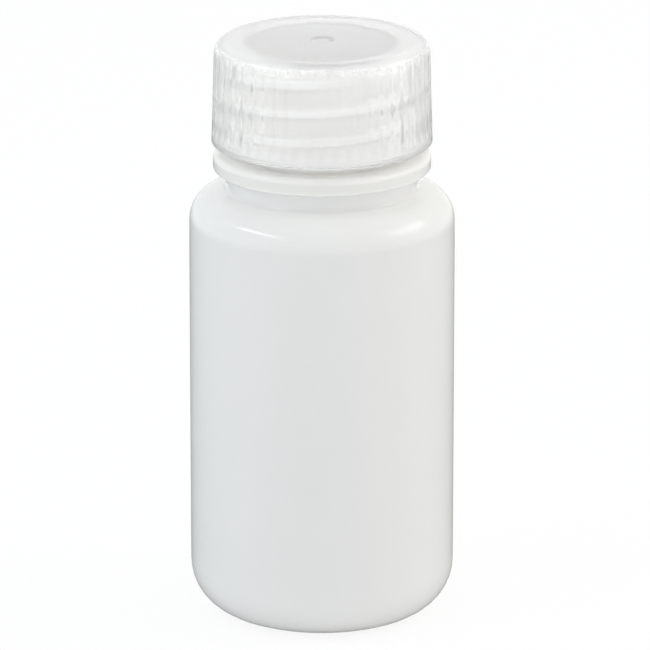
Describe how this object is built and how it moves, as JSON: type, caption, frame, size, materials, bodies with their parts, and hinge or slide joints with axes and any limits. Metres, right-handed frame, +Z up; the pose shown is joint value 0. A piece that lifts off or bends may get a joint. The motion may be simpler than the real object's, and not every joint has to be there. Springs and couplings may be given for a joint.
{
  "type": "wide-mouth laboratory bottle",
  "caption": "Round wide-mouth bottle in milky plastic with a threaded neck, a bead below it and a ribbed screw cap with a plug seal.",
  "frame": {"origin": "centre of the foot ring, on the surface that the bottle stands on", "axes": "+Z up along the bottle's axis, towards the cap; -Y is the side that the picture shows, and the neck thread's upper end lies 26 degrees from it towards +X"},
  "size_m": [0.039, 0.039, 0.0871],
  "materials": {
    "bottle_polyethylene": "natural milky high-density polyethylene, satin",
    "cap_polypropylene": "natural translucent polypropylene, semi-gloss"
  },
  "bodies": {
    "bottle": {"bottle": "bottle_polyethylene"},
    "cap": {"cap": "cap_polypropylene"}
  },
  "joints": [
    {"name": "cap_lift", "type": "slide", "parent": "bottle", "child": "cap", "axis": [0, 0, 1], "range_m": [0, 0.04]}
  ]
}
